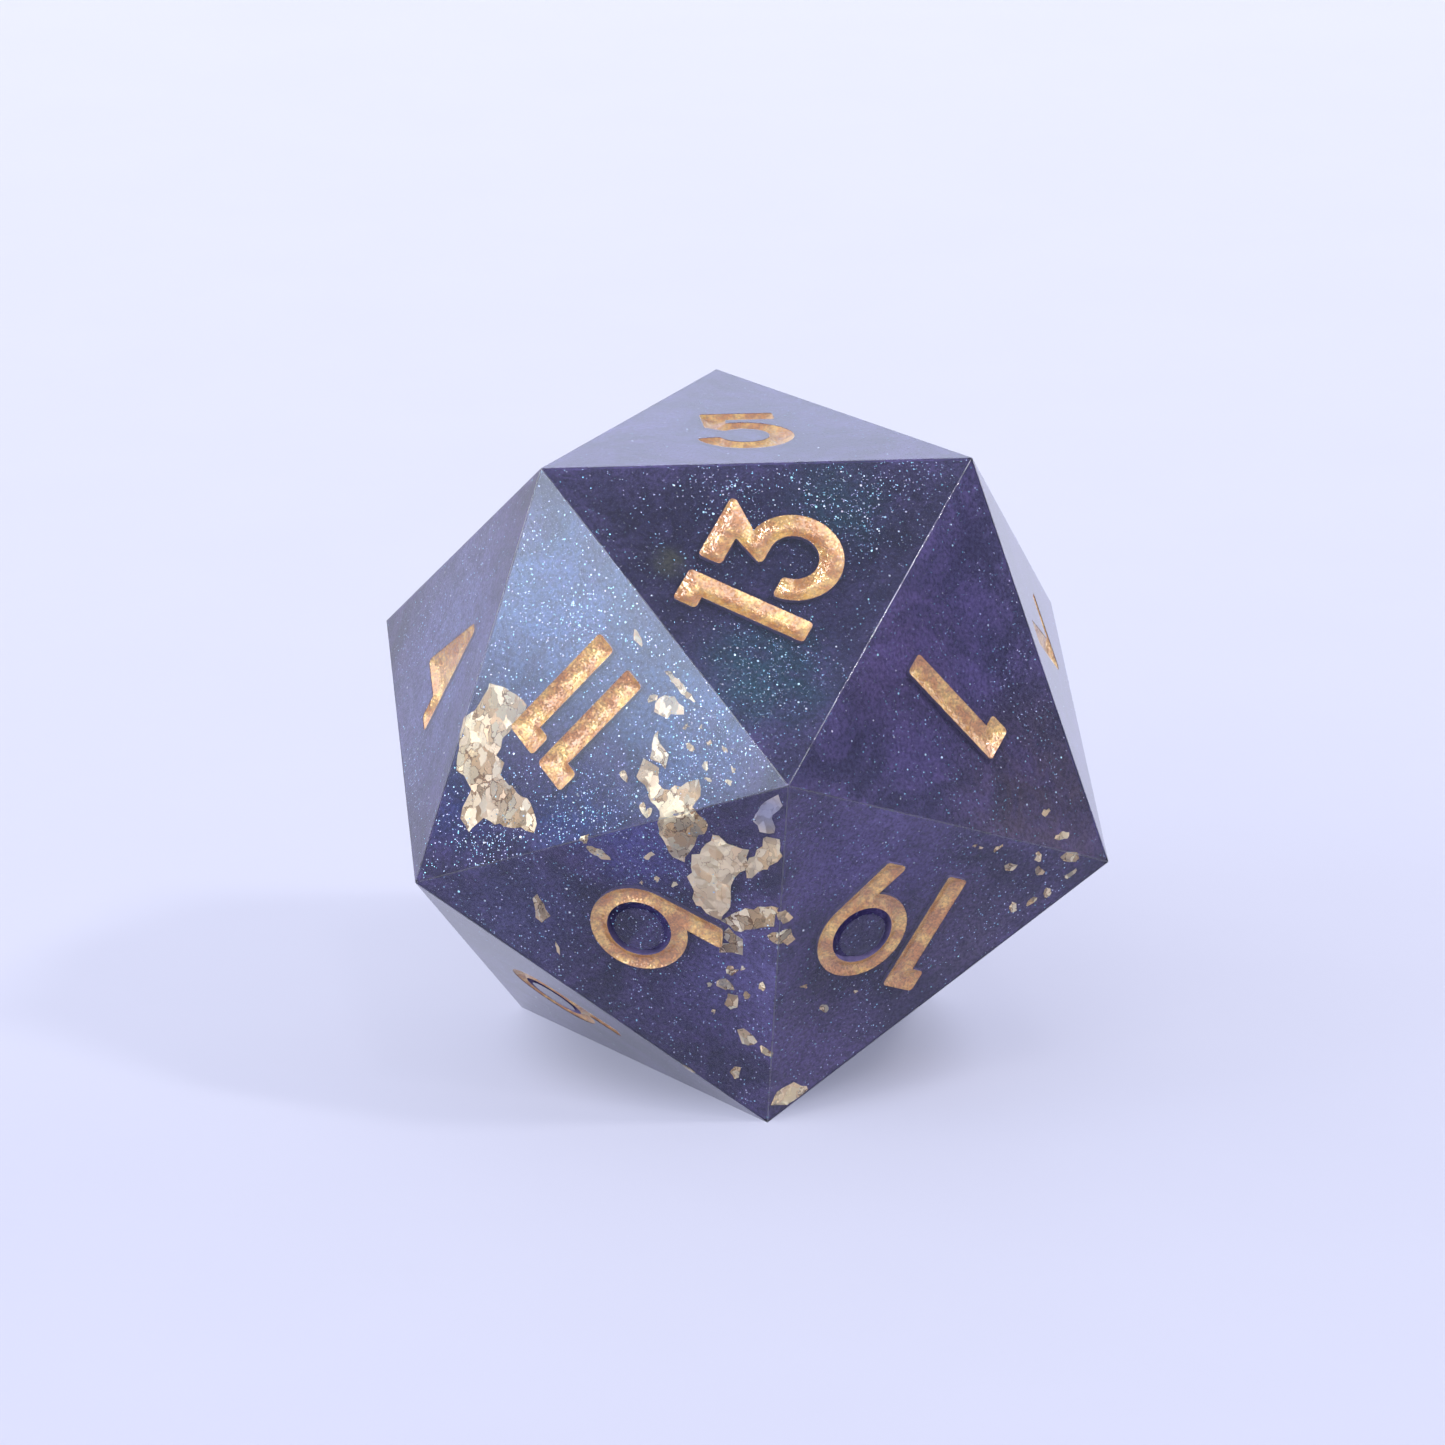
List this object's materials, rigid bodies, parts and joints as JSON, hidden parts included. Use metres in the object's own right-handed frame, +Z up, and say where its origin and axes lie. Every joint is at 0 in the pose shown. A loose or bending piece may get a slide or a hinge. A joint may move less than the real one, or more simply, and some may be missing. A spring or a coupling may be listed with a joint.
{
  "type": "polyhedral die",
  "caption": "Icosahedral gaming die with crisp edges, in dark translucent resin, with engraved, gold-painted numbers and gold leaf cast inside.",
  "frame": {"origin": "middle of the bottom (16) face, which the die rests on", "axes": "+Z up through the middle of the top (5) face; -Y towards the corner shared by 1, 9, 11, 13 and 19; +X to the right of that corner"},
  "size_m": [0.0236, 0.0272, 0.022],
  "materials": {
    "resin": "polished dark indigo resin, slightly see-through, with mica sparkle",
    "gold_paint": "metallic gold paint, satin, slightly grainy",
    "gold_leaf": "crumpled imitation gold leaf, bright"
  },
  "bodies": {
    "root": {"resin_body": "resin", "numeral_01": "gold_paint", "numeral_02": "gold_paint", "numeral_03": "gold_paint", "numeral_04": "gold_paint", "numeral_05": "gold_paint", "numeral_06": "gold_paint", "numeral_07": "gold_paint", "numeral_08": "gold_paint", "numeral_09": "gold_paint", "numeral_10": "gold_paint", "numeral_11": "gold_paint", "numeral_12": "gold_paint", "numeral_13": "gold_paint", "numeral_14": "gold_paint", "numeral_15": "gold_paint", "numeral_16": "gold_paint", "numeral_17": "gold_paint", "numeral_18": "gold_paint", "numeral_19": "gold_paint", "numeral_20": "gold_paint", "leaf_ridge": "gold_leaf", "leaf_trail": "gold_leaf", "leaf_veil": "gold_leaf", "leaf_knot": "gold_leaf", "leaf_crumbs": "gold_leaf", "leaf_foot": "gold_leaf", "leaf_shoulder": "gold_leaf", "leaf_deep": "gold_leaf", "leaf_back": "gold_leaf"}
  },
  "joints": []
}
